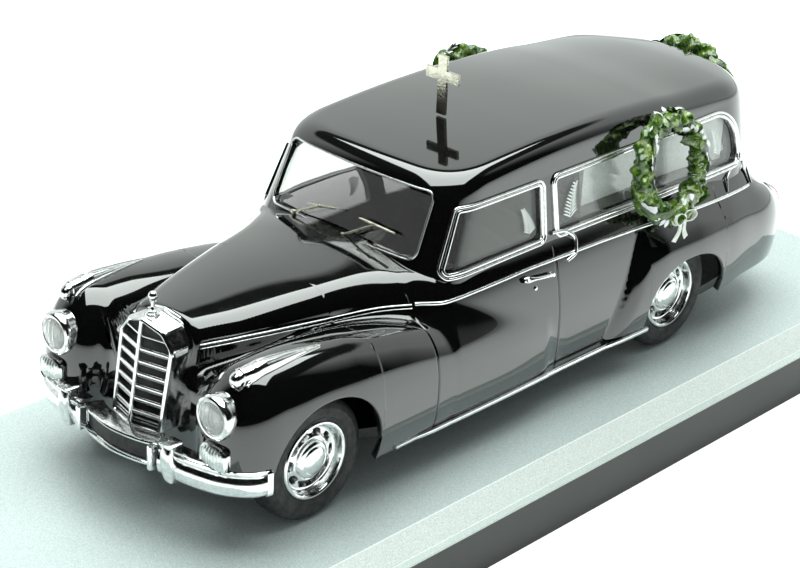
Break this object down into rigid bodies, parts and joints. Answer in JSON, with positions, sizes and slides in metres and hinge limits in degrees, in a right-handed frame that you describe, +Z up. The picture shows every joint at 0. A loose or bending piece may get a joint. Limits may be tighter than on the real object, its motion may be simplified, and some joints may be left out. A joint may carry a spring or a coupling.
{
  "type": "scale model hearse on display plinth",
  "caption": "Small metal model of a rounded 1950s hearse with long side windows, a roof cross, wreaths and free-turning wheels, screwed to a bevelled display plinth.",
  "frame": {"origin": "centre of the plinth's underside", "axes": "+X to the car's left, +Y towards the car's rear along the plinth's length, +Z up"},
  "size_m": [0.0634, 0.163, 0.0551],
  "materials": {
    "plinth": "black moulding with silver-grey metallic lacquer over its top",
    "mounting_screws": "zinc plated",
    "chassis": "satin black",
    "exhaust": "satin silver",
    "body_shell": "deep gloss black",
    "cab_floor": "matt black",
    "front_seat": "satin dark red",
    "dashboard": "dark brown",
    "steering_wheel": "ivory",
    "partition": "dark red",
    "load_bay": "dark lining",
    "curtains": "grey",
    "steel": "bright plated",
    "glass": "clear moulded",
    "lamp_glass": "fluted, pale",
    "tail_lamp": "red",
    "cross": "etched nickel silver",
    "wreath": "green leaves",
    "tyre": "matt black",
    "axle": "bright steel"
  },
  "bodies": {
    "model": {"plinth": "plinth", "mounting_screws": "mounting_screws", "chassis": "chassis", "exhaust": "exhaust", "body_shell": "body_shell", "cab_floor": "cab_floor", "front_seat": "front_seat", "dashboard": "dashboard", "steering_wheel": "steering_wheel", "partition": "partition", "load_bay": "load_bay", "curtains": "curtains", "windscreen": "glass", "rear_window": "glass", "door_glass_left": "glass", "door_glass_right": "glass", "side_glass_left": "glass", "side_glass_right": "glass", "windscreen_frame": "steel", "rear_window_frame": "steel", "door_frame_left": "steel", "door_frame_right": "steel", "side_frame_left": "steel", "side_frame_right": "steel", "belt_strip_left": "steel", "belt_strip_right": "steel", "sill_strip_left": "steel", "sill_strip_right": "steel", "door_handles": "steel", "radiator_shell": "steel", "radiator_bars": "steel", "radiator_ornament": "steel", "headlamp_left": "steel", "headlamp_right": "steel", "fog_lamp_left": "steel", "fog_lamp_right": "steel", "wing_lamp_left": "steel", "wing_lamp_right": "steel", "front_bumper": "steel", "rear_bumper": "steel", "headlamp_lens_left": "lamp_glass", "headlamp_lens_right": "lamp_glass", "tail_lamp_left": "tail_lamp", "tail_lamp_right": "tail_lamp", "cross": "cross", "wreath_left": "wreath", "wreath_right": "wreath", "wreath_rear": "wreath"},
    "front_axle": {"axle_front": "axle", "wheel_front_left": "steel", "wheel_front_right": "steel", "tyre_front_left": "tyre", "tyre_front_right": "tyre"},
    "rear_axle": {"axle_rear": "axle", "wheel_rear_left": "steel", "wheel_rear_right": "steel", "tyre_rear_left": "tyre", "tyre_rear_right": "tyre"}
  },
  "joints": [
    {"name": "front_axle_spin", "type": "hinge", "parent": "model", "child": "front_axle", "pos_m": [0, -0.0413, 0.01717], "axis": [1, 0, 0], "continuous": true},
    {"name": "rear_axle_spin", "type": "hinge", "parent": "model", "child": "rear_axle", "pos_m": [0, 0.0297, 0.01717], "axis": [1, 0, 0], "continuous": true}
  ]
}
